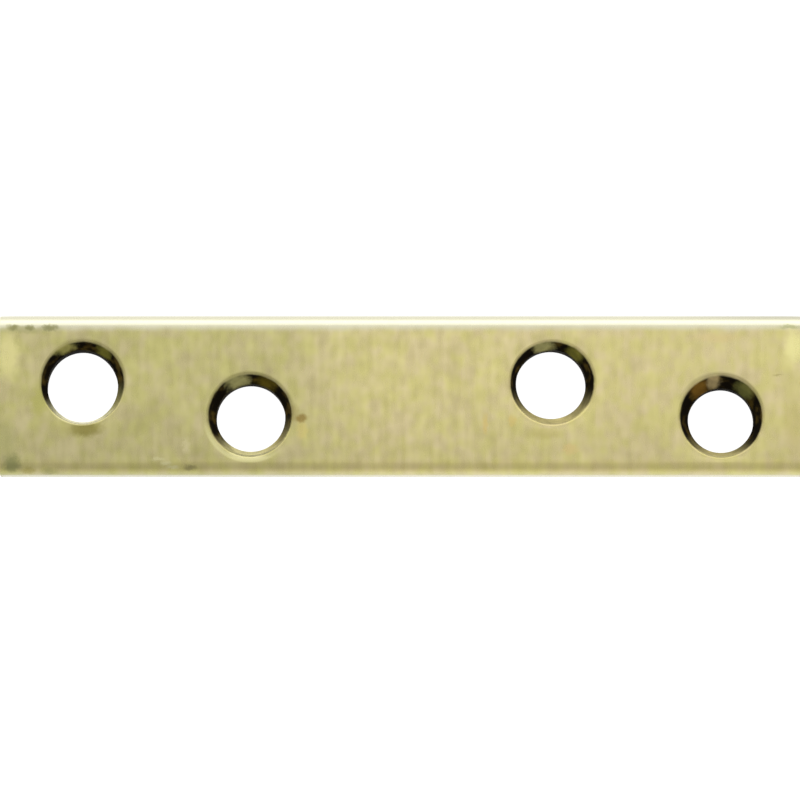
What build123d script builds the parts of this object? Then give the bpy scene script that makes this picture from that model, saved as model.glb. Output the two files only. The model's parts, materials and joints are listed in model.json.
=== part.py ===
from build123d import *

import os

# Flat mending plate: a cropped length of plated steel strip with four countersunk screw holes. Millimetres.
# +X runs along the strip, +Y across it, and +Z points out of the countersunk face.
# The origin is the centre of the flat back, the face that lies on the work.

# Strip
LENGTH = 76.2
WIDTH = 15.3
THICKNESS = 2.3
FACE_EDGE_RADIUS = 1.1  # long edges of the countersunk face, as the strip was rolled
BACK_EDGE_RADIUS = 0.2  # long edges of the back

# Cropped ends: the shear draws the face down, then cuts, and the foot of the section breaks off at a lean
ROLL_OVER_LENGTH = 1.6
ROLL_OVER_DEPTH = 0.16
BREAK_HEIGHT = 1.0  # where the clean cut ends and the break begins, above the back
BREAK_SETBACK = 0.08  # how far the broken edge leans in at the back
CORNER_RADIUS = 0.25

# Screw holes: two near each end, by turns above and below a line that lies a little off the centreline
END_DISTANCE = 7.85  # from an end to the nearest hole's axis
HOLE_PITCH = 15.9  # along the strip, between the two holes of a pair
HOLE_LINE = -0.5  # across the strip, from its centreline to the line that the holes straddle
HOLE_OFFSET = 1.65  # from that line to each hole's axis
BORE_DIAMETER = 6.45
SINK_DIAMETER = 8.1
SINK_ANGLE = 82.0  # included angle of the cone
MOUTH_RADIUS = 0.35  # rounded lip of the countersink
BORE_CHAMFER = 0.1  # broken edge of the bore at the back

NODE = "mending_plate"
SPARE = 1.0  # how far a cutter runs past the strip


def strip():
    """A length of the rolled strip, longer than the plate: flat face and back, four rounded long edges."""
    with BuildSketch(Plane.YZ.offset(-LENGTH / 2 - SPARE)) as section:
        with Locations((0, THICKNESS / 2)):
            Rectangle(WIDTH, THICKNESS)
        fillet(section.vertices().group_by(Axis.Y)[-1], FACE_EDGE_RADIUS)
        fillet(section.vertices().group_by(Axis.Y)[0], BACK_EDGE_RADIUS)
    return extrude(section.sketch, LENGTH + 2 * SPARE)


def end_waste():
    """What the shear takes off at the +X end: all past the roll-over, the clean cut and the break."""
    end = LENGTH / 2
    roll_start = (end - ROLL_OVER_LENGTH, THICKNESS)
    roll_end = (end, THICKNESS - ROLL_OVER_DEPTH)
    with BuildSketch(Plane.XZ.offset(-WIDTH / 2 - SPARE)) as outline:
        with BuildLine():
            TangentArc(roll_start, roll_end, tangent=(1, 0))
            Polyline(
                roll_end,
                (end, BREAK_HEIGHT),
                (end - BREAK_SETBACK, 0),
                (end - BREAK_SETBACK, -SPARE),
                (end + 2 * SPARE, -SPARE),
                (end + 2 * SPARE, THICKNESS + SPARE),
                (end - ROLL_OVER_LENGTH, THICKNESS + SPARE),
                roll_start,
            )
        make_face()
    return extrude(outline.sketch, WIDTH + 2 * SPARE)


def corner_waste():
    """What is trimmed off the corner at +X and +Y, outside a quarter circle that meets both edges."""
    side = CORNER_RADIUS + 2 * SPARE
    waste = Rectangle(side, side, align=Align.MIN) - Circle(CORNER_RADIUS)
    place = Pos(LENGTH / 2 - CORNER_RADIUS, WIDTH / 2 - CORNER_RADIUS, -SPARE)
    return place * extrude(waste, THICKNESS + 2 * SPARE)


def hole_centres():
    """Hole axes from left to right, by turns above and below their line."""
    outer = LENGTH / 2 - END_DISTANCE
    inner = outer - HOLE_PITCH
    return [(x, HOLE_LINE + HOLE_OFFSET * (-1) ** n) for n, x in enumerate((-outer, -inner, inner, outer))]


def rims(plate, radius):
    """The plate's circular edges of one radius, in groups from the lowest up."""
    circles = plate.edges().filter_by(GeomType.CIRCLE)
    return circles.filter_by(lambda rim: abs(rim.radius - radius) < 1e-6).group_by(Axis.Z)


def mending_plate():
    """The strip cropped at both ends, with its corners eased and its screw holes countersunk."""
    plate = strip()
    for waste in (end_waste(), corner_waste(), mirror(corner_waste(), about=Plane.XZ)):
        plate -= waste
        plate -= mirror(waste, about=Plane.YZ)
    for x, y in hole_centres():
        plate -= Pos(x, y, THICKNESS) * CounterSinkHole(
            BORE_DIAMETER / 2, SINK_DIAMETER / 2, THICKNESS + SPARE, SINK_ANGLE
        )
    plate = fillet(rims(plate, SINK_DIAMETER / 2)[-1], MOUTH_RADIUS)
    return chamfer(rims(plate, BORE_DIAMETER / 2)[0], BORE_CHAMFER)


os.makedirs("parts", exist_ok=True)
export_step(mending_plate(), f"parts/{NODE}.step")
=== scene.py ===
"""Mending plate: a flat length of brass-plated strip with four countersunk screw holes.

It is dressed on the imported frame. Lengths are in metres, and +Z points out of the countersunk face. Finishes
and drifts are in millimetres, and a finish measures from the centre of the plate's back.
"""

import json
import logging
import math
from collections.abc import Mapping, Sequence
from dataclasses import dataclass
from enum import IntEnum

import bmesh
import bpy
import numpy as np
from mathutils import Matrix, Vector


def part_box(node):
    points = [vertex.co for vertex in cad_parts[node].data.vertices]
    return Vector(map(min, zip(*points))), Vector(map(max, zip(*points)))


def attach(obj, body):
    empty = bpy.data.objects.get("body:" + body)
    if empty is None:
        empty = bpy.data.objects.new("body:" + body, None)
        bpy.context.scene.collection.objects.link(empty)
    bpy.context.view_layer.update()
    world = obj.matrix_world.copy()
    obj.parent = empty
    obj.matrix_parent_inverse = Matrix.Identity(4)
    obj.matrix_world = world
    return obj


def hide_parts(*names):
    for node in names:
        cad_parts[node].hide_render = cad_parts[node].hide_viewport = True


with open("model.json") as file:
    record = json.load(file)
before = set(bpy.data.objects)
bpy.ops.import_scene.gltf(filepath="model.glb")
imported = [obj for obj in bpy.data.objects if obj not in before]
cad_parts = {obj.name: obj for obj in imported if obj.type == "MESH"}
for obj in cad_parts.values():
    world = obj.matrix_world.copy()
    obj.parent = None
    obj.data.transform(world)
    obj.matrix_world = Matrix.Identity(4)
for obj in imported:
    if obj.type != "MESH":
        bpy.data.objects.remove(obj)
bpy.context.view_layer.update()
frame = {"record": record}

NODE = "mending_plate"
MM = 0.001  # one millimetre, in metres
NOISE_MIDDLE = 0.5  # the mean of Blender's noise
NOISE_GAIN = 4.0  # what brings its swing to about -1 to 1
MERGE_DISTANCE = 0.0002 * MM  # points of a skin closer than this are one point
CREASE_ANGLE = math.radians(32)  # a sharper edge than this isn't shaded smooth
DECIMALS = 12  # stations that agree to these, in metres, are one station
TINY = 1e-12  # keeps a divisor off zero

Colour = tuple[float, float, float]
Span = tuple[float, float]  # from where to where
log = logging.getLogger("mending_plate")


def display(red: int, green: int, blue: int) -> Colour:
    """Turns a colour as a screen shows it into the linear light that a shader takes.

    Args:
        red: Red, from 0 to 255.
        green: Green, from 0 to 255.
        blue: Blue, from 0 to 255.

    Returns:
        The same colour in linear light.
    """
    share = np.array([red, green, blue]) / 255
    linear = np.where(share <= 0.04045, share / 12.92, ((share + 0.055) / 1.055) ** 2.4)
    return tuple(float(part) for part in linear)


# ---- Shader expressions ----


class Socket:
    """A shader output that takes part in Python expressions.

    Two numbers meet in a Math node, and anything with a colour or a vector in it meets in a Vector Math node.
    """

    def __init__(self, graph: "Graph", output: bpy.types.NodeSocket) -> None:
        """Wraps one output of a node in the graph."""
        self.graph = graph
        self.output = output

    def _meet(self, operation: str, left: "Operand", right: "Operand") -> "Socket":
        """Adds the node that combines two operands.

        Args:
            operation: The name that Math and Vector Math share for it.
            left: First operand.
            right: Second operand.

        Returns:
            The node's result.
        """
        numbers = all(is_number(side) for side in (left, right))
        kind = "ShaderNodeMath" if numbers else "ShaderNodeVectorMath"
        return self.graph.node(kind, {"operation": operation}, {0: left, 1: right})

    def __add__(self, other: "Operand") -> "Socket":
        """self + other."""
        return self._meet("ADD", self, other)

    def __sub__(self, other: "Operand") -> "Socket":
        """self - other."""
        return self._meet("SUBTRACT", self, other)

    def __rsub__(self, other: "Operand") -> "Socket":
        """other - self."""
        return self._meet("SUBTRACT", other, self)

    def __mul__(self, other: "Operand") -> "Socket":
        """self * other."""
        return self._meet("MULTIPLY", self, other)

    __radd__, __rmul__ = __add__, __mul__  # a sum and a product are the same in either order

    def __truediv__(self, other: "Operand") -> "Socket":
        """self / other."""
        return self._meet("DIVIDE", self, other)

    def __rtruediv__(self, other: "Operand") -> "Socket":
        """other / self."""
        return self._meet("DIVIDE", other, self)

    def largest(self, other: "Operand") -> "Socket":
        """The larger of self and other."""
        return self._meet("MAXIMUM", self, other)

    def length(self) -> "Socket":
        """Length of a vector."""
        return self.graph.node("ShaderNodeVectorMath", {"operation": "LENGTH"}, {0: self}, "Value")

    def step(self, low: float, high: float) -> "Socket":
        """Rises smoothly from 0 at low to 1 at high, or falls where low is the larger.

        Args:
            low: Where the result is 0.
            high: Where the result is 1.

        Returns:
            A number from 0 to 1.
        """
        ends = (low, high, 0.0, 1.0) if low < high else (high, low, 1.0, 0.0)
        inputs = {0: self} | dict(enumerate(ends, start=1))
        return self.graph.node("ShaderNodeMapRange", {"interpolation_type": "SMOOTHSTEP"}, inputs)


Operand = Socket | float | int | Colour


def is_number(operand: Operand) -> bool:
    """True for a plain number and for a socket that carries one."""
    if isinstance(operand, Socket):
        return operand.output.type == "VALUE"
    return isinstance(operand, (int, float))


class Graph:
    """The node tree of one material or world, emptied and ready to be built up."""

    def __init__(self, owner: bpy.types.Material | bpy.types.World) -> None:
        """Takes over the tree of a material or a world and clears it."""
        owner.use_nodes = True
        self.tree = owner.node_tree
        self.tree.nodes.clear()

    def node(
        self,
        kind: str,
        settings: Mapping[str, object] | None = None,
        inputs: Mapping[int | str, Operand] | None = None,
        output: int | str | None = 0,
    ) -> Socket | None:
        """Adds any node.

        Args:
            kind: The node's Blender type.
            settings: Its properties, which are set first.
            inputs: A value or a link for each of its sockets, by number or by name.
            output: Which of its outputs to return, or None for a node that ends the graph.

        Returns:
            That output.
        """
        made = self.tree.nodes.new(kind)
        for name, value in (settings or {}).items():
            setattr(made, name, value)
        for key, value in (inputs or {}).items():
            self._feed(made.inputs[key], value)
        return None if output is None else Socket(self, made.outputs[output])

    def _feed(self, socket: bpy.types.NodeSocket, value: Operand) -> None:
        """Links or sets one input, widening a number or a colour to the socket's own size."""
        if isinstance(value, Socket):
            self.tree.links.new(value.output, socket)
        elif socket.type == "VALUE":
            socket.default_value = value
        else:
            parts = tuple(value) if isinstance(value, tuple) else (value,) * 3
            socket.default_value = parts + (1.0,) if socket.type == "RGBA" else parts

    def place(self) -> Socket:
        """The point on the object, in millimetres."""
        metres = self.node("ShaderNodeTexCoord", output="Object")
        return metres * (1 / MM)

    def split(self, vector: Socket) -> tuple[Socket, Socket, Socket]:
        """The three parts of a vector, as numbers."""
        first = self.node("ShaderNodeSeparateXYZ", inputs={0: vector})
        return tuple(Socket(self, output) for output in first.output.node.outputs)

    def mix(self, share: Operand, first: Operand, second: Operand) -> Socket:
        """Blends two colours: only the first where the share is 0, and only the second where it is 1."""
        return self.node("ShaderNodeMix", {"data_type": "RGBA"}, {0: share, 6: first, 7: second}, 2)

    def warp(self, at: Socket, size: float, reach: float, seed: float) -> Socket:
        """Shifts a point at random, so that what is drawn there gets a ragged outline.

        Args:
            at: The point, in millimetres.
            size: Size of the raggedness, in millimetres.
            reach: How far a point may move, in millimetres.
            seed: Which pattern of the kind it is.

        Returns:
            The shifted point.
        """
        inputs = {"Vector": at, "W": seed, "Scale": 1.0 / size, "Detail": 3.0, "Roughness": 0.6}
        raw = self.node("ShaderNodeTexNoise", {"noise_dimensions": "4D"}, inputs, "Color")
        return at + (raw - NOISE_MIDDLE) * (NOISE_GAIN * reach)


# ---- Sizes ----


@dataclass(frozen=True)
class Strip:
    """The rolled strip, cropped to length: its section and what the shear did to its ends."""

    length: float
    width: float
    thickness: float
    face_edge_radius: float = 1.10 * MM
    back_edge_radius: float = 0.20 * MM
    corner_radius: float = 0.25 * MM
    roll_over_length: float = 1.60 * MM
    roll_over_depth: float = 0.16 * MM
    crop_edge_radius: float = 0.05 * MM
    break_height: float = 1.00 * MM
    break_setback: float = 0.08 * MM
    break_waver: float = 0.12 * MM  # how far the line where the break starts wanders
    break_grain: float = 0.16  # the share of the set-back that the break's grain adds or takes away
    lean_reach: float = 1.00 * MM  # the length of strip that shares the lean

    @classmethod
    def from_box(cls, low: Vector, high: Vector) -> "Strip":
        """Takes the strip's length, width and thickness from the corners of its node."""
        size = high - low
        return cls(length=size.x, width=size.y, thickness=size.z)

    @property
    def flat_half_width(self) -> float:
        """From the centreline to where the face's edge radius starts."""
        return self.width / 2 - self.face_edge_radius

    def face_height(self, x: np.ndarray, y: np.ndarray) -> np.ndarray:
        """Height of the face, whose long edges are quarter rounds and whose ends roll over.

        The roll-over is a shallow arc that starts level, and a very small quarter round follows it at the
        cropped edge. The shear draws the long edges down with the face, so the falls add up.

        Args:
            x: Distance along the strip from its middle.
            y: Distance across the strip from its centreline.

        Returns:
            Height above the back, less any relief.
        """
        long_edge = quarter_round(np.abs(y) - self.flat_half_width, self.face_edge_radius)
        arc_radius = (self.roll_over_length**2 + self.roll_over_depth**2) / (2 * self.roll_over_depth)
        past = np.abs(x) - (self.length / 2 - self.roll_over_length)
        along = np.clip(past, 0.0, self.roll_over_length)
        roll_over = arc_radius - np.sqrt(arc_radius**2 - along**2)
        past_crop = np.abs(x) - (self.length / 2 - self.crop_edge_radius)
        return self.thickness - long_edge - roll_over - quarter_round(past_crop, self.crop_edge_radius)

    def back_height(self, y: np.ndarray) -> np.ndarray:
        """Height of the back at a distance y from the centreline. Its long edges are small quarter rounds."""
        return quarter_round(np.abs(y) - (self.width / 2 - self.back_edge_radius), self.back_edge_radius)

    def round_corners(self, x: np.ndarray, y: np.ndarray) -> tuple[np.ndarray, np.ndarray]:
        """Moves points of a sharp-cornered rectangle onto one with rounded corners.

        Round each corner the points lie on nested L-shaped lines. Each line keeps its ends, and its corner
        becomes an arc whose radius grows outwards to the full corner radius. A point keeps its share of the
        line's length.

        Args:
            x: Distance along the sharp-cornered rectangle.
            y: Distance across the sharp-cornered rectangle.

        Returns:
            The same points' places on the rounded rectangle.
        """
        side = self.face_edge_radius
        corner_x, corner_y = self.length / 2 - side, self.width / 2 - side
        p, q = np.abs(x) - corner_x, np.abs(y) - corner_y  # how far the point is into the corner's square
        level = np.maximum(p, q)
        inside = (p > 0) & (q > 0)
        level = np.where(inside, level, side)
        radius = self.corner_radius * (level / side) ** 2
        share = np.where(p >= q, q, 2 * level - p) / (2 * level)
        straight = level - radius
        total = 2 * straight + np.pi / 2 * radius
        walked = share * total
        angle = np.clip((walked - straight) / np.maximum(radius, TINY), 0.0, np.pi / 2)
        first = np.minimum(walked, straight)
        last = np.maximum(walked - straight - np.pi / 2 * radius, 0.0)
        new_p = straight + radius * np.cos(angle) - last
        new_q = first + radius * np.sin(angle)
        rounded_x = np.where(inside, np.sign(x) * (corner_x + new_p), x)
        rounded_y = np.where(inside, np.sign(y) * (corner_y + new_q), y)
        return rounded_x, rounded_y

    def lean_ends(self, points: np.ndarray) -> np.ndarray:
        """Leans the broken part of each end in towards the back, with the grain of the break on it.

        The set-back grows evenly from the foot of the clean cut, which wanders as a sum of two waves, down
        to the back. Two waves that cross, multiplied, give its grain. A short end of the strip shares it, so
        that the back's surface follows.

        Args:
            points: Points of any surface of the plate.

        Returns:
            The moved points.
        """
        x, y, z = points[..., 0], points[..., 1], points[..., 2]
        share = np.clip((np.abs(x) - (self.length / 2 - self.lean_reach)) / self.lean_reach, 0.0, 1.0)
        long_wave, short_wave = np.sin(y / (0.9 * MM) + 0.7), np.sin(y / (0.37 * MM) + np.sign(x))
        waver = self.break_waver * (long_wave + 0.6 * short_wave)
        depth = np.clip((self.break_height + waver - z) / self.break_height, 0.0, 1.0)
        rising = np.sin(y / (0.11 * MM) + 2 * z / (0.09 * MM))
        falling = np.sin(z / (0.07 * MM) - y / (0.23 * MM))
        grain = self.break_grain * rising * falling
        moved = points.copy()
        moved[..., 0] = x - np.sign(x) * self.break_setback * share * depth * (1 + grain * (1 - depth))
        return moved


def quarter_round(past: np.ndarray, radius: float) -> np.ndarray:
    """Fall of a quarter round: radius - sqrt(radius^2 - t^2) at a distance t past its start, 0 before it."""
    along = np.clip(past, 0.0, radius)
    return radius - np.sqrt(radius**2 - along**2)


@dataclass(frozen=True)
class Drift:
    """How far one punched and countersunk hole strays from its nominal shape, in millimetres."""

    mouth: tuple[float, float] = (0.0, 0.0)  # shift of the countersink's mouth
    bore: tuple[float, float] = (0.0, 0.0)  # shift of the bore
    wear: float = 0.0  # growth of the bore's radius
    oval: float = 0.0  # further growth of the bore across the strip, which makes it an oval
    lip: float = 0.0  # growth of the countersink's radius


@dataclass(frozen=True)
class ScrewHole:
    """One countersunk hole: its axis, its drift, and the profile from the face down to the back."""

    x: float
    y: float
    thickness: float
    drift: Drift
    bore_radius: float
    sink_radius: float = 4.05 * MM
    sink_half_angle: float = math.radians(41.0)
    mouth_radius: float = 0.35 * MM
    bore_chamfer: float = 0.10 * MM

    @classmethod
    def from_mount(cls, mount: Mapping[str, object], thickness: float, drift: Drift) -> "ScrewHole":
        """Takes a hole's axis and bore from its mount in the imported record.

        Args:
            mount: The mount.
            thickness: Thickness of the strip.
            drift: How far the hole strays from its nominal shape.

        Returns:
            The hole.
        """
        x, y, _ = mount["pos_m"]
        bore_radius = (mount["dims"]["r_mm"] + drift.wear) * MM
        return cls(x, y, thickness, drift, bore_radius, cls.sink_radius + drift.lip * MM)

    @property
    def rim_radius(self) -> float:
        """Radius at which the rounded mouth starts on the face."""
        turn = math.pi / 2 - self.sink_half_angle
        return self.sink_radius + self.mouth_radius * math.tan(turn / 2)

    @property
    def back_radius(self) -> float:
        """Radius of the chamfered bore at the back."""
        return self.bore_radius + self.bore_chamfer

    def rise(self, height: np.ndarray | float) -> np.ndarray:
        """0 up to half the thickness, from where it grows evenly to 1 at the face."""
        return np.clip(2 * np.asarray(height) / self.thickness - 1, 0.0, 1.0)

    def centre(self, height: np.ndarray | float) -> np.ndarray:
        """Centre of the wall's ring at a height, in a last axis of two: it moves from bore to mouth."""
        rise = self.rise(height)[..., None]
        shift = np.array(self.drift.bore) * MM * (1 - rise) + np.array(self.drift.mouth) * MM * rise
        return np.array([self.x, self.y]) + shift

    def ring(
        self, height: np.ndarray | float, radius: np.ndarray | float, direction: np.ndarray
    ) -> np.ndarray:
        """Points of the wall at a height: the centre there, plus the radius along each direction.

        The bore's oval adds to the radius across the strip, and fades out towards the face.

        Args:
            height: Height above the back.
            radius: Radius of the wall at that height.
            direction: Unit directions from the axis, in a last axis of two.

        Returns:
            X and Y of each point, in a last axis of two.
        """
        oval = (1 - self.rise(height))[..., None] * np.array([0.0, self.drift.oval * MM])
        return self.centre(height) + (np.asarray(radius)[..., None] + oval) * direction

    def on_cone(self, height: float, turn: float) -> np.ndarray:
        """X and Y of the point on the cone at a height above the back, at an angle from +X."""
        radius = self.sink_radius - (self.thickness - height) * math.tan(self.sink_half_angle)
        return self.centre(height) + radius * np.array([math.cos(turn), math.sin(turn)])

    def profile(self, mouth_steps: int = 6, cone_steps: int = 9, bore_steps: int = 7) -> np.ndarray:
        """Radius and height down the wall.

        A rounded mouth turns from level to the slope of the cone, the cone runs straight to the bore, the
        bore runs straight down, and a small chamfer ends it at the back.

        Args:
            mouth_steps: Steps round the mouth.
            cone_steps: Steps down the cone.
            bore_steps: Steps down the bore.

        Returns:
            One row of radius and height for each point.
        """
        turn = np.linspace(0.0, math.pi / 2 - self.sink_half_angle, mouth_steps + 1)
        mouth_r = self.rim_radius - self.mouth_radius * np.sin(turn)
        mouth_z = self.thickness - self.mouth_radius * (1 - np.cos(turn))
        run = mouth_r[-1] - self.bore_radius
        cone_foot = mouth_z[-1] - run / math.tan(self.sink_half_angle)
        down = np.linspace(0.0, 1.0, cone_steps + 1)[1:]
        cone_r = mouth_r[-1] - run * down
        cone_z = mouth_z[-1] + (cone_foot - mouth_z[-1]) * down
        bore_z = np.linspace(cone_foot, self.bore_chamfer, bore_steps + 1)[1:]
        bore_r = np.full_like(bore_z, self.bore_radius)
        radius = np.concatenate([mouth_r, cone_r, bore_r, [self.back_radius]])
        height = np.concatenate([mouth_z, cone_z, bore_z, [0.0]])
        return np.stack([radius, height], axis=-1)


# ---- Finishes ----


@dataclass(frozen=True)
class Mottle:
    """Smooth random mottling, and how strongly it changes the finish that it belongs to."""

    size: tuple[float, float, float]  # size of its features along X, Y and Z, in millimetres
    seed: float  # which pattern of the kind it is
    detail: float = 2.0  # how many finer layers lie on the first
    shade: float = 0.0  # its weights in the colour, the roughness and the height
    roughness: float = 0.0
    height: float = 0.0

    def draw(self, graph: Graph, at: Socket) -> Socket:
        """The pattern at a point in millimetres: a number between about -1 and 1."""
        inputs = {"Vector": at / self.size, "W": self.seed, "Scale": 1.0, "Detail": self.detail}
        raw = graph.node("ShaderNodeTexNoise", {"noise_dimensions": "4D"}, inputs)
        return (raw - NOISE_MIDDLE) * NOISE_GAIN


class Patch:
    """A soft-edged patch of another colour. Places and sizes are in millimetres."""

    colour: Colour

    def cover(self, graph: Graph, at: Socket) -> Socket:
        """How much of the patch's colour lies at a point, from 0 to the patch's strength."""
        raise NotImplementedError

    def lay(self, graph: Graph, at: Socket, below: Socket) -> Socket:
        """Lays the patch over a colour and returns the new colour."""
        return graph.mix(self.cover(graph, at), below, self.colour)


@dataclass(frozen=True)
class Mark(Patch):
    """An oval spot: a stain, a wear mark, or a spot of painted highlight, glint or shade."""

    x: float
    y: float
    length: float
    width: float
    colour: Colour
    strength: float = 1.0
    z: float = 2.3  # the height of the face
    height: float = 1.2
    fade_start: float = 0.35  # the soft edge starts and ends at these shares of the way out
    fade_end: float = 1.25

    def cover(self, graph: Graph, at: Socket) -> Socket:
        """The spot's strength, which fades with the distance from its middle as a share of its half size."""
        half_size = (self.length / 2, self.width / 2, self.height / 2)
        share = ((at - (self.x, self.y, self.z)) / half_size).length()
        return share.step(self.fade_end, self.fade_start) * self.strength


@dataclass(frozen=True)
class Arc(Patch):
    """Part of a ring round a screw hole: a painted highlight on its rim, or painted shade beside it."""

    x: float
    y: float
    inner: float
    outer: float
    bearing: float
    spread: float
    colour: Colour
    strength: float = 1.0
    blur: float = 0.12
    rise_z: Span = (1.1, 1.8)  # none of it lies below the first height, and all of it above the second

    def cover(self, graph: Graph, at: Socket) -> Socket:
        """How much of the arc's colour lies at a point.

        It is the product of the point's shares of the height, the ring and the wedge. The wedge is measured
        by the chord between the point's direction from the hole and the arc's own.

        Args:
            graph: The material's graph.
            at: The point, in millimetres.

        Returns:
            A number from 0 to the arc's strength.
        """
        _, _, z = graph.split(at)
        flat = (at - (self.x, self.y, 0.0)) * (1.0, 1.0, 0.0)
        reach = flat.length()
        ring = z.step(*self.rise_z) * reach.step(self.inner - self.blur, self.inner + self.blur)
        ring = ring * reach.step(self.outer + self.blur, self.outer - self.blur)
        turn, half = math.radians(self.bearing), math.radians(self.spread) / 2
        chord = (flat / reach - (math.cos(turn), math.sin(turn), 0.0)).length()
        return ring * chord.step(2 * math.sin(half), math.sin(half)) * self.strength


@dataclass
class Layers:
    """What a finish paints: the inputs of the shader that change over the surface."""

    colour: Socket
    roughness: Socket
    height: Socket
    coat: Operand
    metal: Operand = 1.0


@dataclass(frozen=True)
class BrassPlating:
    """Satin brass plating over brushed steel, lightly tarnished and handled, under a thin clear lacquer.

    A field that ends in "shade" says how strongly a region darkens the colour, and one that ends in "tint"
    multiplies it. One that ends in "x", "y" or "z" says from where to where along that axis a region grows.
    """

    name: str = "brass_plating"
    # left and right: the plating drawn darker at the left end than at the right, painted shade for light that
    # falls more on the right
    left: Colour = display(183, 175, 118)
    right: Colour = display(204, 192, 133)
    # pale: the colour of the painted highlight along the back long edge's round, which the bright room behind
    # makes cream
    pale: Colour = display(212, 209, 182)
    green_tint: Colour = (0.985, 1.015, 0.86)
    rose_tint: Colour = (1.012, 0.985, 1.13)
    # the tint along the front long edge's round is painted shade, the dark line that the room reflects there
    front_edge_shade_tint: Colour = (1.0, 0.985, 0.88)
    # the lighter, bluer tint on the very front edge is a painted reflection of the white table
    front_edge_reflection_tint: Colour = (1.07, 1.12, 1.27)
    pattern_tint: Colour = (1.0, 1.02, 1.5)
    swell: Mottle = Mottle((14.0, 9.0, 9.0), 1.3, shade=0.08)
    blotches: Mottle = Mottle((1.25, 1.5, 1.4), 9.4, detail=1.0)
    blotch_span: Span = (-0.9, 0.9)
    cloud: Mottle = Mottle((2.6, 3.4, 3.0), 4.1, detail=3.0, shade=0.028)
    grain: Mottle = Mottle((0.88, 1.25, 1.1), 7.7, detail=0.5, shade=0.065, roughness=0.02, height=0.25)
    brushing: Mottle = Mottle((0.55, 3.8, 1.8), 2.9, detail=0.5, shade=0.032, roughness=0.03, height=0.35)
    fine: Mottle = Mottle((0.10, 0.9, 0.6), 5.2, detail=1.0, shade=0.008, height=0.12)
    left_strength: float = 1.2  # what the patterns' shades are multiplied by to the left
    right_strength: float = 0.8
    right_x: Span = (6.0, 26.0)
    early_turn: float = 0.12  # the share of the change from left to right that comes early
    early_turn_x: Span = (-38.0, -16.0)
    late_turn_x: Span = (-14.0, 0.0)
    # painted shade: the face darkens towards the front, away from the light behind
    front_shade: float = 0.13
    front_y: Span = (2.0, -8.0)
    front_edge_shade_waver: float = 0.25
    front_edge_shade_y: Span = (-6.1, -6.8)
    front_edge_reflection_y: Span = (-7.25, -7.55)
    back_edge_highlight_waver: float = 0.12
    back_edge_highlight_y: Span = (5.85, 6.7)
    back_edge_highlight_z: Span = (0.1, 0.8)
    # painted shade: the back edge's highlight is dimmed on its outermost strip towards the right end
    back_corner_shade: float = 0.2
    back_corner_x: Span = (22.0, 36.0)
    back_corner_y: Span = (6.9, 7.5)
    roughness: float = 0.28
    coat: float = 0.6
    coat_roughness: float = 0.18
    relief: float = 0.012 * MM
    specular: float = 0.5
    marks: tuple[Mark, ...] = ()
    arcs: tuple[Arc, ...] = ()

    def make(self) -> bpy.types.Material:
        """Builds the material.

        Returns:
            The material, with a Principled shader fed by the painted layers.
        """
        material = bpy.data.materials.new(self.name)
        graph = Graph(material)
        layers = self.paint(graph, graph.place())
        bump = {"Distance": self.relief, "Height": layers.height}
        inputs = {
            "Base Color": layers.colour,
            "Roughness": layers.roughness,
            "Metallic": layers.metal,
            "Specular IOR Level": self.specular,
            "Coat Weight": layers.coat,
            "Coat Roughness": self.coat_roughness,
            "Normal": graph.node("ShaderNodeBump", inputs=bump, output="Normal"),
        }
        shader = graph.node("ShaderNodeBsdfPrincipled", inputs=inputs)
        graph.node("ShaderNodeOutputMaterial", inputs={"Surface": shader}, output=None)
        return material

    def paint(self, graph: Graph, at: Socket) -> Layers:
        """Paints the plating: a broad drift from left to right that is painted shade, patterns, painted shade
        towards the front, painted shade, reflection and highlight along the long edges, marks and arcs.

        Args:
            graph: The material's graph.
            at: The point, in millimetres.

        Returns:
            The layers.
        """
        x, y, z = graph.split(at)
        blotches = self.blotches.draw(graph, at).step(*self.blotch_span)
        cloud, grain = self.cloud.draw(graph, at), self.grain.draw(graph, at)
        brushing, fine = self.brushing.draw(graph, at), self.fine.draw(graph, at)

        # painted shade: the colour drifts from the darker left to the lighter right
        drift = x.step(*self.early_turn_x) * self.early_turn
        drift = drift + x.step(*self.late_turn_x) * (1 - self.early_turn)
        drift = drift + self.swell.draw(graph, at) * self.swell.shade
        colour = graph.mix(drift, self.left, self.right)
        colour = colour * graph.mix(blotches, self.green_tint, self.rose_tint)
        strength = self.left_strength - x.step(*self.right_x) * (self.left_strength - self.right_strength)
        pattern = cloud * self.cloud.shade + grain * self.grain.shade
        pattern = pattern + brushing * self.brushing.shade + fine * self.fine.shade
        colour = colour * (pattern * strength * self.pattern_tint + 1.0)
        # painted shade, darker towards the front
        colour = colour * (1.0 - y.step(*self.front_y) * self.front_shade)

        plain = (1.0, 1.0, 1.0)
        # painted shade along the front long edge's round
        front_edge_shade = (y + cloud * self.front_edge_shade_waver).step(*self.front_edge_shade_y)
        colour = colour * graph.mix(front_edge_shade, plain, self.front_edge_shade_tint)
        # painted reflection of the white table on the very front edge
        colour = colour * graph.mix(y.step(*self.front_edge_reflection_y), plain, self.front_edge_reflection_tint)
        # painted highlight: the back long edge's round takes the pale colour
        back_edge_highlight = (y + cloud * self.back_edge_highlight_waver).step(*self.back_edge_highlight_y) * z.step(*self.back_edge_highlight_z)
        # painted shade, dimming the back edge's highlight towards the right end
        dimmed_highlight = 1.0 - y.step(*self.back_corner_y) * x.step(*self.back_corner_x) * self.back_corner_shade
        colour = graph.mix(back_edge_highlight, colour, self.pale * dimmed_highlight)
        ragged = graph.warp(at, size=0.5, reach=0.22, seed=6.6)
        for mark in self.marks:
            colour = mark.lay(graph, ragged, colour)
        for arc in self.arcs:
            colour = arc.lay(graph, at, colour)
        roughness = self.roughness + grain * self.grain.roughness + brushing * self.brushing.roughness
        height = brushing * self.brushing.height + fine * self.fine.height + grain * self.grain.height
        return Layers(colour, roughness, height, self.coat)


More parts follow.
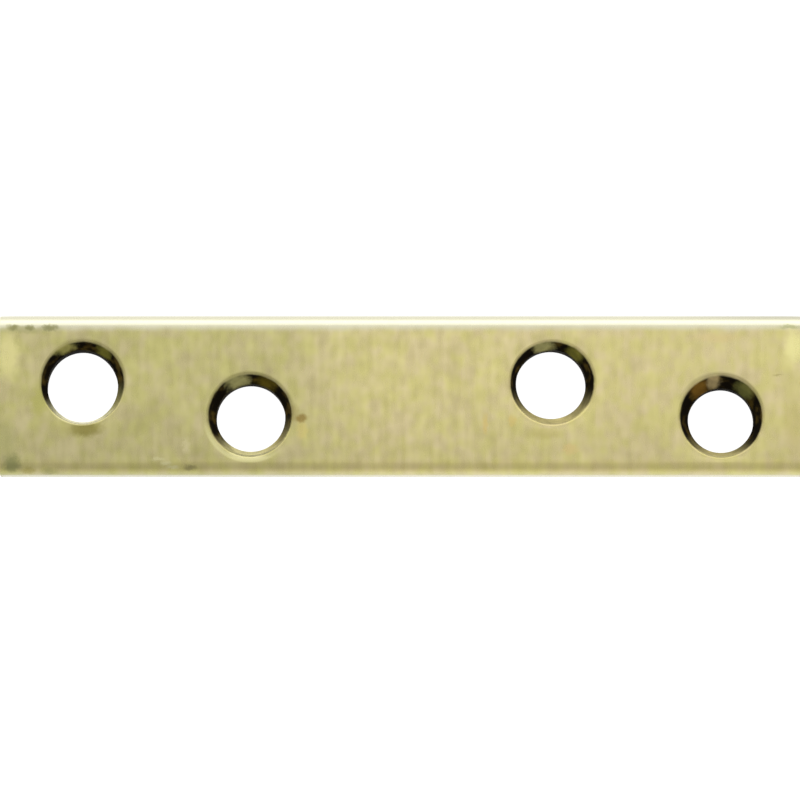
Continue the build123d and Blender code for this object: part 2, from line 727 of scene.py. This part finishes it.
@dataclass(frozen=True)
class ShadedHoleWall(BrassPlating):
    """The wall of a screw hole: brass at the lip and on its lit front, and elsewhere painted shade and dark
    reflection that make it nearly black, with painted glints.
    """

    name: str = "blackened_wall"
    roughness: float = 0.42
    specular: float = 0.03
    # black and brown: the colours of the painted shade and dark reflection on the wall, mottled from one to
    # the other
    black: Colour = (0.0040, 0.0026, 0.0008)
    brown: Colour = display(58, 46, 14)
    # lip_tint: painted shade, darkening the lip a little
    lip_tint: Colour = (0.86, 0.85, 0.80)
    lip_height: float = 2.30
    lip_fade: float = 0.19
    lip_waver: float = 0.03
    lit_front_lift: float = 0.13  # how much nearer the face a lit front counts as, which lifts the painted shade there
    ragged: Mottle = Mottle((0.8, 0.8, 0.35), 3.6, detail=3.0, shade=0.15)
    smear: Mottle = Mottle((1.1, 1.1, 0.5), 8.8, shade=0.22)
    smear_span: Span = (-0.1, 0.9)
    painted_shade_roughness: float = 0.3
    lit_fronts: tuple[Mark, ...] = ()
    glints: tuple[Mark, ...] = ()

    def paint(self, graph: Graph, at: Socket) -> Layers:
        """Paints the wall's painted shade, its lit fronts' painted light and its painted glints over the
        plating.

        Args:
            graph: The material's graph.
            at: The point, in millimetres.

        Returns:
            The layers.
        """
        layers = super().paint(graph, at)
        _, _, z = graph.split(at)
        ragged, smear = self.ragged.draw(graph, at), self.smear.draw(graph, at)
        streaked = graph.warp(at, size=0.7, reach=0.3, seed=1.7)
        dark = graph.mix(smear.step(*self.smear_span), self.black, self.brown)
        level = z + ragged * self.lip_waver
        # painted light on the lit fronts of the wall
        for mark in self.lit_fronts:
            level = level + mark.cover(graph, at) * self.lit_front_lift
            dark = mark.lay(graph, streaked, dark)
        # painted glints: reflections drawn on the wall
        for mark in self.glints:
            dark = mark.lay(graph, streaked, dark)
        dark = dark * (1.0 + smear * self.smear.shade + ragged * self.ragged.shade)
        # painted shade: the wall darkens from the lip down, except where a lit front lifts it
        painted_shade = level.step(self.lip_height, self.lip_height - self.lip_fade)
        colour = graph.mix(painted_shade, layers.colour * self.lip_tint, dark)
        roughness = layers.roughness + painted_shade * self.painted_shade_roughness
        return Layers(colour, roughness, layers.height, self.coat - painted_shade * self.coat, 1.0 - painted_shade)


@dataclass(frozen=True)
class CroppedEnd(BrassPlating):
    """A cropped end: the shear's upright drag lines above, and the grainy break below."""

    name: str = "cropped_end"
    coat: float = 0.4
    break_height: float = 1.0
    break_fade: float = 0.1
    break_line: Mottle = Mottle((1.0, 0.7, 1.0), 1.1, height=0.12)  # how the foot of the clean cut wanders
    break_roughness: float = 0.22
    break_shade: float = 0.22
    break_grain: Mottle = Mottle((0.3, 0.14, 0.10), 2.2, detail=3.0, shade=0.16, height=3.0)
    drag: Mottle = Mottle((1.0, 0.09, 2.2), 6.1, shade=0.08)

    def paint(self, graph: Graph, at: Socket) -> Layers:
        """Paints the cropped end over the plating.

        Args:
            graph: The material's graph.
            at: The point, in millimetres.

        Returns:
            The layers.
        """
        layers = super().paint(graph, at)
        _, _, z = graph.split(at)
        drag, grain = self.drag.draw(graph, at), self.break_grain.draw(graph, at)
        level = z + self.break_line.draw(graph, at) * self.break_line.height
        broken = level.step(self.break_height + self.break_fade, self.break_height - self.break_fade)
        cut = 1.0 - broken
        broken_shade = grain * self.break_grain.shade - self.break_shade
        shade = 1.0 + drag * self.drag.shade * cut + broken_shade * broken
        roughness = layers.roughness + broken * self.break_roughness
        height = layers.height + drag * cut + grain * broken * self.break_grain.height
        return Layers(layers.colour * shade, roughness, height, self.coat)


# ---- The plate ----


class Zone(IntEnum):
    """Which finish a face of the plate takes: the number of its material."""

    PLATING = 0
    HOLE_WALL = 1
    CROPPED_END = 2


class Skin:
    """A surface put together from grids of points."""

    def __init__(self) -> None:
        """Starts with no points."""
        self._points: list[np.ndarray] = []
        self._quads: list[np.ndarray] = []
        self._zones: list[np.ndarray] = []
        self._count = 0

    def add(self, grid: np.ndarray, zones: int | np.ndarray = 0) -> None:
        """Adds the quads of one grid.

        Args:
            grid: Points in rows and columns.
            zones: The number of the material for all its quads, or for each column of them.
        """
        rows, columns = grid.shape[:2]
        index = np.arange(rows * columns).reshape(rows, columns) + self._count
        quads = np.stack([index[:-1, :-1], index[1:, :-1], index[1:, 1:], index[:-1, 1:]], axis=-1)
        self._points.append(grid.reshape(-1, 3))
        self._quads.append(quads.reshape(-1, 4))
        self._zones.append(np.broadcast_to(zones, quads.shape[:2]).ravel())
        self._count += rows * columns

    def points(self) -> np.ndarray:
        """All points so far, one row each."""
        return np.concatenate(self._points)

    def to_object(self, name: str, points: np.ndarray, closed: bool = True) -> bpy.types.Object:
        """Makes the object, with doubled points merged and the faces of a closed skin turned outwards.

        Args:
            name: Name of the piece.
            points: Final places of the points.
            closed: Whether the skin encloses a volume.

        Returns:
            The object, at the origin.
        """
        mesh = bpy.data.meshes.new(name)
        mesh.from_pydata(points, [], np.concatenate(self._quads))
        mesh.polygons.foreach_set("material_index", np.concatenate(self._zones).astype(np.int32))
        shell = bmesh.new()
        shell.from_mesh(mesh)
        bmesh.ops.remove_doubles(shell, verts=shell.verts, dist=MERGE_DISTANCE)
        if closed:
            bmesh.ops.recalc_face_normals(shell, faces=shell.faces)
        shell.to_mesh(mesh)
        shell.free()
        mesh.shade_smooth()
        mesh.set_sharp_from_angle(angle=CREASE_ANGLE)
        return put_in_scene(name, mesh)


def put_in_scene(name: str, data: bpy.types.ID) -> bpy.types.Object:
    """Makes an object of a mesh, a lamp or a camera, at the origin, and puts it in the scene."""
    made = bpy.data.objects.new(name, data)
    bpy.context.scene.collection.objects.link(made)
    return made


@dataclass
class Plate:
    """The whole mending plate as one closed skin, from its strip and its screw holes."""

    strip: Strip
    holes: list[ScrewHole]
    name: str = "plated_strip"
    cell_half_length: float = 6.0 * MM  # each hole's patch of the face reaches this far along the strip
    spacing: float = 0.30 * MM
    face_rings: int = 18
    back_rings: int = 10
    ring_growth: float = 1.6  # the power that draws the rings together near a hole
    rim_steps: int = 18
    edge_steps: int = 16
    dish_depth: float = 0.018 * MM  # how far the face sinks at a hole's lip, where the punch drew it down
    dish_reach: float = 0.45 * MM
    ripple_depth: float = 0.004 * MM
    calm_border: float = 0.5 * MM  # the relief fades out over this width beside the long edges
    corner_share: float = 0.2  # how much of the long edge's round belongs to the cropped end, at each corner

    def relief(self, x: np.ndarray, y: np.ndarray) -> np.ndarray:
        """How far the face lies below its nominal height, never above it.

        The rolled face ripples by a few thousandths of a millimetre, as a sum of three waves that cross.
        Round each hole it sinks towards the lip, as a bell curve of the distance outside the rim.

        Args:
            x: Distance along the strip.
            y: Distance across the strip.

        Returns:
            The depth, 0 or more.
        """
        waves = (
            np.sin(x / (1.9 * MM) + 0.8 * np.sin(y / (2.3 * MM)))
            + np.sin(y / (1.3 * MM) + x / (3.1 * MM) + 1.0)
            + np.sin(x / (0.83 * MM) - y / (1.1 * MM) + 2.0)
        )
        depth = self.ripple_depth * (1 + waves / 3)
        for hole in self.holes:
            mouth_x, mouth_y = hole.centre(hole.thickness)
            outside = np.maximum(np.hypot(x - mouth_x, y - mouth_y) - hole.rim_radius, 0.0)
            depth = depth + self.dish_depth * np.exp(-((outside / self.dish_reach) ** 2))
        fade = np.clip((self.strip.flat_half_width - np.abs(y)) / self.calm_border, 0.0, 1.0)
        return depth * fade

    def face_points(self, x: np.ndarray, y: np.ndarray) -> np.ndarray:
        """Points of the face over places in plan."""
        x, y = self.strip.round_corners(x, y)
        return np.stack([x, y, self.strip.face_height(x, y) - self.relief(x, y)], axis=-1)

    def back_points(self, x: np.ndarray, y: np.ndarray) -> np.ndarray:
        """Points of the back under places in plan."""
        x, y = self.strip.round_corners(x, y)
        return np.stack([x, y, self.strip.back_height(y)], axis=-1)

    def spans(self) -> list[tuple[np.ndarray, ScrewHole | None]]:
        """Cuts the strip's length into spans with and without a hole.

        Returns:
            For each span from left to right, its stations along the strip and its hole, if it has one.
        """
        edge, rounded = self.strip.length / 2 - self.strip.face_edge_radius, self.round_stations()
        cuts = [-edge]
        for hole in self.holes:
            cuts += [hole.x - self.cell_half_length, hole.x + self.cell_half_length]
        cuts.append(edge)
        spans = [(-edge - rounded[::-1], None)]
        for number, (start, stop) in enumerate(zip(cuts[:-1], cuts[1:])):
            steps = max(2, round((stop - start) / self.spacing))
            hole = self.holes[number // 2] if number % 2 else None
            spans.append((np.linspace(start, stop, steps + 1), hole))
        spans.append((edge + rounded, None))
        return spans

    def inner_stations(self) -> np.ndarray:
        """Stations across the flat of the face."""
        half = self.strip.flat_half_width
        return np.linspace(-half, half, round(2 * half / self.spacing) + 1)

    def round_stations(self) -> np.ndarray:
        """Distances past the start of an edge's quarter round, at even steps of its angle."""
        return self.strip.face_edge_radius * np.sin(np.linspace(0.0, np.pi / 2, self.edge_steps + 1))

    def rays(self, hole: ScrewHole, xs: np.ndarray) -> tuple[np.ndarray, np.ndarray]:
        """Rays from a hole's axis to the points of the rectangle round it.

        Args:
            hole: The hole.
            xs: Stations along the rectangle.

        Returns:
            The points of the rectangle, and the direction of each from the axis.
        """
        ys = self.inner_stations()
        around_x = np.concatenate([np.full(len(ys) - 1, xs[-1]), xs[:0:-1], np.full(len(ys) - 1, xs[0]), xs])
        around_y = np.concatenate([ys[:-1], np.full(len(xs) - 1, ys[-1]), ys[:0:-1], np.full(len(xs), ys[0])])
        around = np.stack([around_x, around_y], axis=-1)
        out = around - (hole.x, hole.y)
        return around, out / np.linalg.norm(out, axis=-1, keepdims=True)

    def patch(self, hole: ScrewHole, xs: np.ndarray, height: float, radius: float, rings: int) -> np.ndarray:
        """Plan of the surface between a hole and the rectangle round it.

        Each ring is a share of the way from the hole to the rectangle, and the rings stand closer together
        near the hole.

        Args:
            hole: The hole.
            xs: Stations along the rectangle.
            height: Height above the back.
            radius: Radius of the hole at that height.
            rings: How many steps from the hole to the rectangle.

        Returns:
            Distances along and across the strip, first axis the two of them, then a row for each ring.
        """
        around, direction = self.rays(hole, xs)
        opening = hole.ring(height, radius, direction)
        share = (np.linspace(0.0, 1.0, rings + 1) ** self.ring_growth)[:, None, None]
        return np.moveaxis(opening + (around - opening) * share, -1, 0)

    def add_faces(self, skin: Skin) -> None:
        """Adds the face and the back.

        Each is a grid of stations along and across the strip, except round a hole, where rings spread from
        the hole to the rectangle that the grid leaves open.

        Args:
            skin: The skin that takes them.
        """
        inner, edge = self.inner_stations(), self.strip.flat_half_width + self.round_stations()
        for xs, hole in self.spans():
            for ys in (-edge[::-1], edge) if hole else (-edge[::-1], edge, inner):
                plan = np.meshgrid(xs, ys, indexing="ij")
                skin.add(self.face_points(*plan), Zone.PLATING)
                skin.add(self.back_points(*plan), Zone.PLATING)
            if hole:
                face = self.patch(hole, xs, hole.thickness, hole.rim_radius, self.face_rings)
                back = self.patch(hole, xs, 0.0, hole.back_radius, self.back_rings)
                skin.add(self.face_points(*face), Zone.PLATING)
                skin.add(self.back_points(*back), Zone.PLATING)
                self.add_wall(skin, hole, xs)

    def add_wall(self, skin: Skin, hole: ScrewHole, xs: np.ndarray) -> None:
        """Adds the wall of a hole: its profile turned about the hole's axis.

        The columns stand where the rings of the face round it have theirs, and the mouth follows the face's
        relief, which fades out down the wall.

        Args:
            skin: The skin that takes it.
            hole: The hole.
            xs: Stations along the rectangle round the hole.
        """
        _, direction = self.rays(hole, xs)
        radius, height = hole.profile().T[:, :, None]
        x, y = np.moveaxis(hole.ring(height, radius, direction), -1, 0)
        z = height - self.relief(x, y) * hole.rise(height)
        skin.add(np.stack([x, y, z], axis=-1), Zone.HOLE_WALL)

    def add_rim(self, skin: Skin) -> None:
        """Adds the outer wall: upright lines carried round the outline, from the face's edge to the back's.

        Args:
            skin: The skin that takes it.
        """
        edge = self.strip.flat_half_width + self.round_stations()
        along = np.unique(np.concatenate([xs for xs, _ in self.spans()]).round(DECIMALS))
        across = np.unique(np.concatenate([-edge, self.inner_stations(), edge]).round(DECIMALS))
        end, side = self.strip.length / 2, self.strip.width / 2
        far, near = np.full(len(across) - 1, end), np.full(len(across), -end)
        front, behind = np.full(len(along) - 1, -side), np.full(len(along) - 1, side)
        x = np.concatenate([along[:-1], far, along[:0:-1], near])
        y = np.concatenate([front, across[:-1], behind, across[::-1]])
        top, foot = self.face_points(x, y), self.back_points(x, y)
        share = np.linspace(0.0, 1.0, self.rim_steps + 1)[:, None, None]
        grid = top + (foot - top) * share
        at_end = np.abs(x[:-1] + x[1:]) / 2 > end - self.corner_share * self.strip.face_edge_radius
        skin.add(grid, np.where(at_end, Zone.CROPPED_END, Zone.PLATING))

    def build(self, finishes: Mapping[Zone, BrassPlating]) -> bpy.types.Object:
        """Builds and dresses the plate.

        Args:
            finishes: The finish of each zone.

        Returns:
            The finished piece.
        """
        skin = Skin()
        self.add_faces(skin)
        self.add_rim(skin)
        piece = skin.to_object(self.name, self.strip.lean_ends(skin.points()))
        for zone in Zone:
            piece.data.materials.append(finishes[zone].make())
        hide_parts(NODE)
        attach(piece, "root")
        return piece


# ---- Studio ----


@dataclass(frozen=True)
class Studio:
    """A white table in a soft, even room that is lighter behind the plate."""

    table_radius: float = 2.5
    table_rings: int = 8
    table_sides: int = 96
    table_height: float = -0.01 * MM
    table_colour: Colour = (0.20, 0.20, 0.20)
    table_glow: float = 0.96
    room_level: float = 0.825
    room_steps: tuple[tuple[float, float, float], ...] = (
        (-0.6, 0.2, 0.06),
        (0.1, 0.47, 0.78),
        (-0.75, -1.0, 0.25),
        (0.88, 1.0, -0.4),
    )  # from where to where in Y, from -1 in front to 1 behind, and how much the level changes
    lamp_power: float = 0.3
    lamp_width: float = 0.90
    lamp_depth: float = 0.36
    lamp_distance: float = 0.70
    lamp_elevation: float = math.radians(38)
    lamp_side: float = 0.12

    def build(self) -> None:
        """Builds the table, the room and the lamp."""
        self.add_table()
        self.light_room()
        self.add_lamp()

    def add_table(self) -> None:
        """Makes the table top: a flat disc of rings, whose radii grow as the squares of their numbers."""
        radius = self.table_radius * np.linspace(0.0, 1.0, self.table_rings + 1)[:, None] ** 2
        turn = np.linspace(0.0, 2 * np.pi, self.table_sides + 1)
        x, y = radius * np.cos(turn), radius * np.sin(turn)
        skin = Skin()
        skin.add(np.stack([x, y, np.full_like(x, self.table_height)], axis=-1))
        table = skin.to_object("table", skin.points(), closed=False)
        table.data.materials.append(self.table_material())

    def table_material(self) -> bpy.types.Material:
        """A matt surface that shows white, throws little light back at the plate, and is clear from below."""
        material = bpy.data.materials.new("white_table")
        graph = Graph(material)
        camera = graph.node("ShaderNodeLightPath", output="Is Camera Ray")
        glossy = graph.node("ShaderNodeLightPath", output="Is Glossy Ray")
        through = graph.node("ShaderNodeLightPath", output="Is Transmission Ray")
        seen = camera.largest(glossy).largest(through)
        inputs = {
            "Base Color": self.table_colour,
            "Roughness": 0.9,
            "Specular IOR Level": 0.0,
            "Emission Color": graph.mix(seen, (0.0, 0.0, 0.0), (self.table_glow,) * 3),
            "Emission Strength": 1.0,
        }
        top = graph.node("ShaderNodeBsdfPrincipled", inputs=inputs)
        below = graph.node("ShaderNodeNewGeometry", output="Backfacing")
        clear = graph.node("ShaderNodeBsdfTransparent")
        surface = graph.node("ShaderNodeMixShader", inputs={0: below, 1: top, 2: clear})
        graph.node("ShaderNodeOutputMaterial", inputs={"Surface": surface}, output=None)
        return material

    def light_room(self) -> None:
        """Lights the room: its level changes in smooth steps from the front to the back."""
        world = bpy.data.worlds.new("soft_room")
        graph = Graph(world)
        _, y, _ = graph.split(graph.node("ShaderNodeTexCoord", output="Generated"))
        level = self.room_level
        for start, stop, change in self.room_steps:
            level = level + y.step(start, stop) * change
        light = graph.node("ShaderNodeBackground", inputs={"Color": (1.0, 1.0, 1.0), "Strength": level})
        graph.node("ShaderNodeOutputWorld", inputs={"Surface": light}, output=None)
        bpy.context.scene.world = world

    def add_lamp(self) -> None:
        """Hangs one wide soft lamp behind the plate."""
        data = bpy.data.lights.new("soft_lamp", "AREA")
        data.shape = "RECTANGLE"
        data.size, data.size_y = self.lamp_width, self.lamp_depth
        data.energy = self.lamp_power
        lamp = put_in_scene("soft_lamp", data)
        turn = self.lamp_elevation
        away = Vector((self.lamp_side, math.cos(turn), math.sin(turn))).normalized()
        lamp.location = away * self.lamp_distance
        lamp.rotation_euler = away.to_track_quat("Z", "Y").to_euler()


@dataclass(frozen=True)
class Viewpoint:
    """A long lens that looks almost straight down at the countersunk face, tipped a little to the front."""

    tilt: float = math.radians(9.0)  # from the face's normal, to the front
    distance: float = 0.80
    field: float = 76.04 * MM  # width of what it sees at the plate
    aim: tuple[float, float, float] = (-0.105 * MM, -0.225 * MM, 0.0)
    sensor: float = 36.0  # width of the camera's sensor, in Blender's millimetres
    nearest: float = 0.05
    farthest: float = 10.0

    def build(self) -> None:
        """Makes the camera and gives it to the scene."""
        data = bpy.data.cameras.new("camera")
        data.sensor_width = self.sensor
        data.lens = self.sensor * self.distance / self.field
        data.clip_start, data.clip_end = self.nearest, self.farthest
        camera = put_in_scene("camera", data)
        back = Vector((0.0, -math.sin(self.tilt), math.cos(self.tilt)))
        camera.location = Vector(self.aim) + back * self.distance
        camera.rotation_euler = back.to_track_quat("Z", "Y").to_euler()
        bpy.context.scene.camera = camera
        bpy.context.scene.view_settings.view_transform = "Standard"


# ---- Assembly ----


def read_holes(thickness: float) -> list[ScrewHole]:
    """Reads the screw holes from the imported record, from left to right.

    Args:
        thickness: Thickness of the strip.

    Returns:
        The holes.
    """
    bores = [mount for mount in frame["record"]["mounts"] if mount["kind"] == "bore"]
    bores.sort(key=lambda mount: mount["pos_m"][0])
    drifts = (
        Drift(mouth=(0.06, -0.05), bore=(0.03, -0.41), wear=0.12, oval=0.20, lip=-0.04),
        Drift(mouth=(0.03, 0.12), bore=(0.12, -0.05), wear=0.04, lip=-0.03),
        Drift(mouth=(0.0, -0.08), bore=(-0.17, -0.12), wear=0.10, lip=-0.01),
        Drift(mouth=(0.08, 0.02), bore=(0.06, -0.29), wear=-0.12, lip=-0.07),
    )
    return [ScrewHole.from_mount(mount, thickness, drift) for mount, drift in zip(bores, drifts)]


def cone_glints(holes: Sequence[ScrewHole]) -> tuple[Mark, ...]:
    """Painted glints on the holes' cones: reflections of the room drawn into the painted shade.

    Args:
        holes: The screw holes, from left to right.

    Returns:
        The marks, from rows of hole, bearing, height above the back, extent along, across and up, colour as a
        screen shows it, and strength.
    """
    first, second, third, fourth = holes
    rows = (
        (first, 57, 2.0, (1.8, 1.5, 1.6), (104, 100, 40), 0.8),
        (first, 119, 2.1, (2.6, 1.6, 1.5), (150, 144, 80), 0.9),
        (second, 110, 1.8, (2.5, 2.1, 2.6), (154, 149, 96), 0.85),
        (second, 64, 1.8, (2.6, 1.8, 2.0), (84, 72, 18), 0.75),
        (third, 103, 1.8, (2.2, 1.7, 2.4), (154, 149, 96), 0.85),
        (third, 52, 1.8, (1.9, 2.0, 2.0), (104, 100, 40), 0.8),
        (fourth, 127, 1.8, (2.1, 2.0, 2.2), (104, 76, 26), 0.85),
        (fourth, 102, 1.9, (1.5, 2.0, 2.4), (156, 138, 96), 0.8),
        (fourth, 50, 1.8, (2.2, 2.1, 2.0), (98, 98, 50), 0.75),
    )
    marks = []
    for hole, bearing, height, (length, width, tall), colour, strength in rows:
        x, y = hole.on_cone(height * MM, math.radians(bearing)) / MM
        marks.append(Mark(x, y, length, width, display(*colour), strength, height, tall))
    return tuple(marks)


def lit_wall_fronts(holes: Sequence[ScrewHole], away: float = 6.0, height: float = 1.6) -> tuple[Mark, ...]:
    """The lit fronts of the holes' walls, painted light where the painted shade lifts: wide round marks whose
    middles lie outside the holes.

    Args:
        holes: The screw holes, from left to right.
        away: From a hole's axis to the middle of its mark, in millimetres.
        height: Height of that middle above the back, in millimetres.

    Returns:
        The marks, from rows of hole, bearing, half the mark's size, and colour as a screen shows it.
    """
    first, second, third, fourth = holes
    # painted light: the fronts take the plating's lit colour, the first hole's a near-white painted highlight
    lit_brass = (178, 166, 112)
    rows = (
        (first, 283, 5.5, (172, 165, 108)),
        (first, 267, 4.5, (240, 235, 196)),
        (second, 285, 5.2, lit_brass),
        (second, 268, 4.3, (204, 196, 142)),
        (third, 270, 5.5, lit_brass),
        (fourth, 268, 4.3, lit_brass),
    )
    marks = []
    for hole, bearing, reach, colour in rows:
        turn = math.radians(bearing)
        x, y = hole.x / MM + away * math.cos(turn), hole.y / MM + away * math.sin(turn)
        marks.append(Mark(x, y, 2 * reach, 2 * reach, display(*colour), z=height, height=3 * reach))
    return tuple(marks)


def face_marks() -> tuple[Mark, ...]:
    """Stains, wear marks and specks on the face and its edges, and painted highlight and shade at the ends and
    in the front left corner.

    Returns:
        The marks, from rows of x, y, length, width, colour as a screen shows it, strength and, where it isn't
        the face's own, height.
    """
    rows = (
        (-30.5, -3.2, 5.4, 2.0, (160, 154, 84), 0.6),
        (-29.9, -3.4, 3.3, 1.6, (120, 110, 42), 0.75),  # darker olive patch below the first hole
        (-34.3, -0.7, 1.6, 4.2, (168, 165, 84), 0.75),
        (13.6, -3.8, 3.6, 1.3, (180, 170, 100), 0.7),  # darker tan patch below the third hole
        (-10.1, -1.8, 1.0, 1.8, (166, 153, 92), 0.6),
        (-9.5, -2.35, 1.4, 0.9, (140, 116, 48), 0.85),  # rust speck beside the second hole
        (-9.4, -3.5, 1.3, 2.0, (206, 188, 108), 0.5),
        (16.0, -5.3, 1.7, 1.2, (205, 180, 120), 0.6),
        (8.0, -2.9, 0.7, 2.2, (206, 178, 94), 0.5),  # amber streaks
        (10.5, -2.6, 0.9, 1.3, (206, 178, 94), 0.45),
        (30.0, 5.4, 5.0, 1.0, (214, 190, 134), 0.4),
        (35.8, 1.8, 1.1, 0.3, (143, 134, 70), 0.45),  # scratch
        (-36.0, 6.15, 5.0, 0.8, (160, 156, 100), 0.6),
        (-36.9, 6.35, 1.2, 0.7, (136, 134, 84), 0.9),  # moss-green specks in the back left corner
        (-35.3, 6.35, 1.0, 0.6, (136, 134, 84), 0.85),
        (-33.3, 6.35, 1.7, 0.7, (136, 134, 84), 0.85),
        (-36.9, -6.8, 1.9, 2.6, (124, 124, 74), 0.9, 2.2),  # painted shade in the front left corner, where the rolled corner turns away from the light
        (-35.3, -7.25, 1.6, 0.9, (152, 142, 76), 0.8, 1.9),
        (-33.3, -7.4, 1.9, 0.8, (146, 142, 86), 0.8, 1.8),
        (-23.0, -6.3, 1.4, 0.45, (196, 190, 140), 0.6),  # scuffs down to the front edge
        (-22.3, -6.65, 1.3, 0.45, (196, 190, 140), 0.7),
        (-21.6, -7.0, 1.2, 0.5, (190, 184, 136), 0.7, 2.1),
        (-20.0, -7.05, 1.4, 0.6, (124, 116, 70), 0.8, 2.1),
        (-20.4, -5.0, 0.9, 1.7, (202, 191, 148), 0.5),
        (-37.3, 3.7, 2.4, 5.0, (214, 206, 140), 0.8),  # the ends: painted highlight where the roll-over tips towards the light, and painted shade where it tips away
        (-37.5, -4.4, 2.4, 3.8, (165, 160, 106), 0.7),
        (37.3, 4.6, 2.2, 4.0, (228, 220, 150), 0.9),
        (37.3, -3.0, 2.3, 6.5, (189, 177, 112), 0.6),
        (36.7, 0.7, 2.0, 3.4, (193, 182, 122), 0.55),
        (36.9, 6.45, 2.4, 0.5, (172, 174, 122), 0.75),
    )
    marks = []
    for x, y, length, width, colour, *rest in rows:
        marks.append(Mark(x, y, length, width, display(*colour), *rest))
    return tuple(marks)


def rim_arcs(holes: Sequence[ScrewHole]) -> tuple[Arc, ...]:
    """Painted shade along the mouths' back sides, and painted highlights on the rims along the front of the
    two left holes.

    Args:
        holes: The screw holes, from left to right.

    Returns:
        The arcs, from rows of hole, inner and outer radius, bearing, spread, colour and strength.
    """
    first, second, third, fourth = holes
    # painted shade beside the mouths' back sides
    rim_shade = display(110, 102, 56)
    rows = (
        (first, 4.05, 4.25, 70, 85, rim_shade, 0.28),
        (second, 4.12, 4.38, 65, 85, rim_shade, 0.32),
        (third, 4.05, 4.25, 60, 80, rim_shade, 0.14),
        (fourth, 4.05, 4.28, 80, 100, rim_shade, 0.36),
        # painted highlights on the front rims of the two left holes
        (first, 3.90, 4.14, 268, 50, display(214, 207, 158), 0.85),
        (second, 4.02, 4.42, 248, 75, display(206, 200, 142), 0.75),
        (second, 3.80, 4.16, 265, 32, display(220, 214, 162), 0.6),
    )
    return tuple(Arc(hole.x / MM, hole.y / MM, *rest) for hole, *rest in rows)


def finishes(strip: Strip, holes: Sequence[ScrewHole]) -> dict[Zone, BrassPlating]:
    """The plate's three finishes.

    Args:
        strip: The strip.
        holes: The screw holes, from left to right.

    Returns:
        The finish of each zone.
    """
    marks, arcs = face_marks(), rim_arcs(holes)
    lit_fronts, glints = lit_wall_fronts(holes), cone_glints(holes)
    return {
        Zone.PLATING: BrassPlating(marks=marks, arcs=arcs),
        Zone.HOLE_WALL: ShadedHoleWall(marks=marks, arcs=arcs, lit_fronts=lit_fronts, glints=glints),
        Zone.CROPPED_END: CroppedEnd(marks=marks, break_height=strip.break_height / MM),
    }


def main() -> None:
    """Builds the plate and its studio, and reports each piece."""
    logging.basicConfig(level=logging.INFO, format="%(name)s: %(message)s")
    strip = Strip.from_box(*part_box(NODE))
    holes = read_holes(strip.thickness)
    plate = Plate(strip, holes)
    piece = plate.build(finishes(strip, holes))
    log.info("%s: %d faces, %d screw holes", piece.name, len(piece.data.polygons), len(holes))
    Studio().build()
    log.info("studio: table, room and lamp")
    Viewpoint().build()
    log.info("camera in place")


if __name__ == "__main__":
    main()
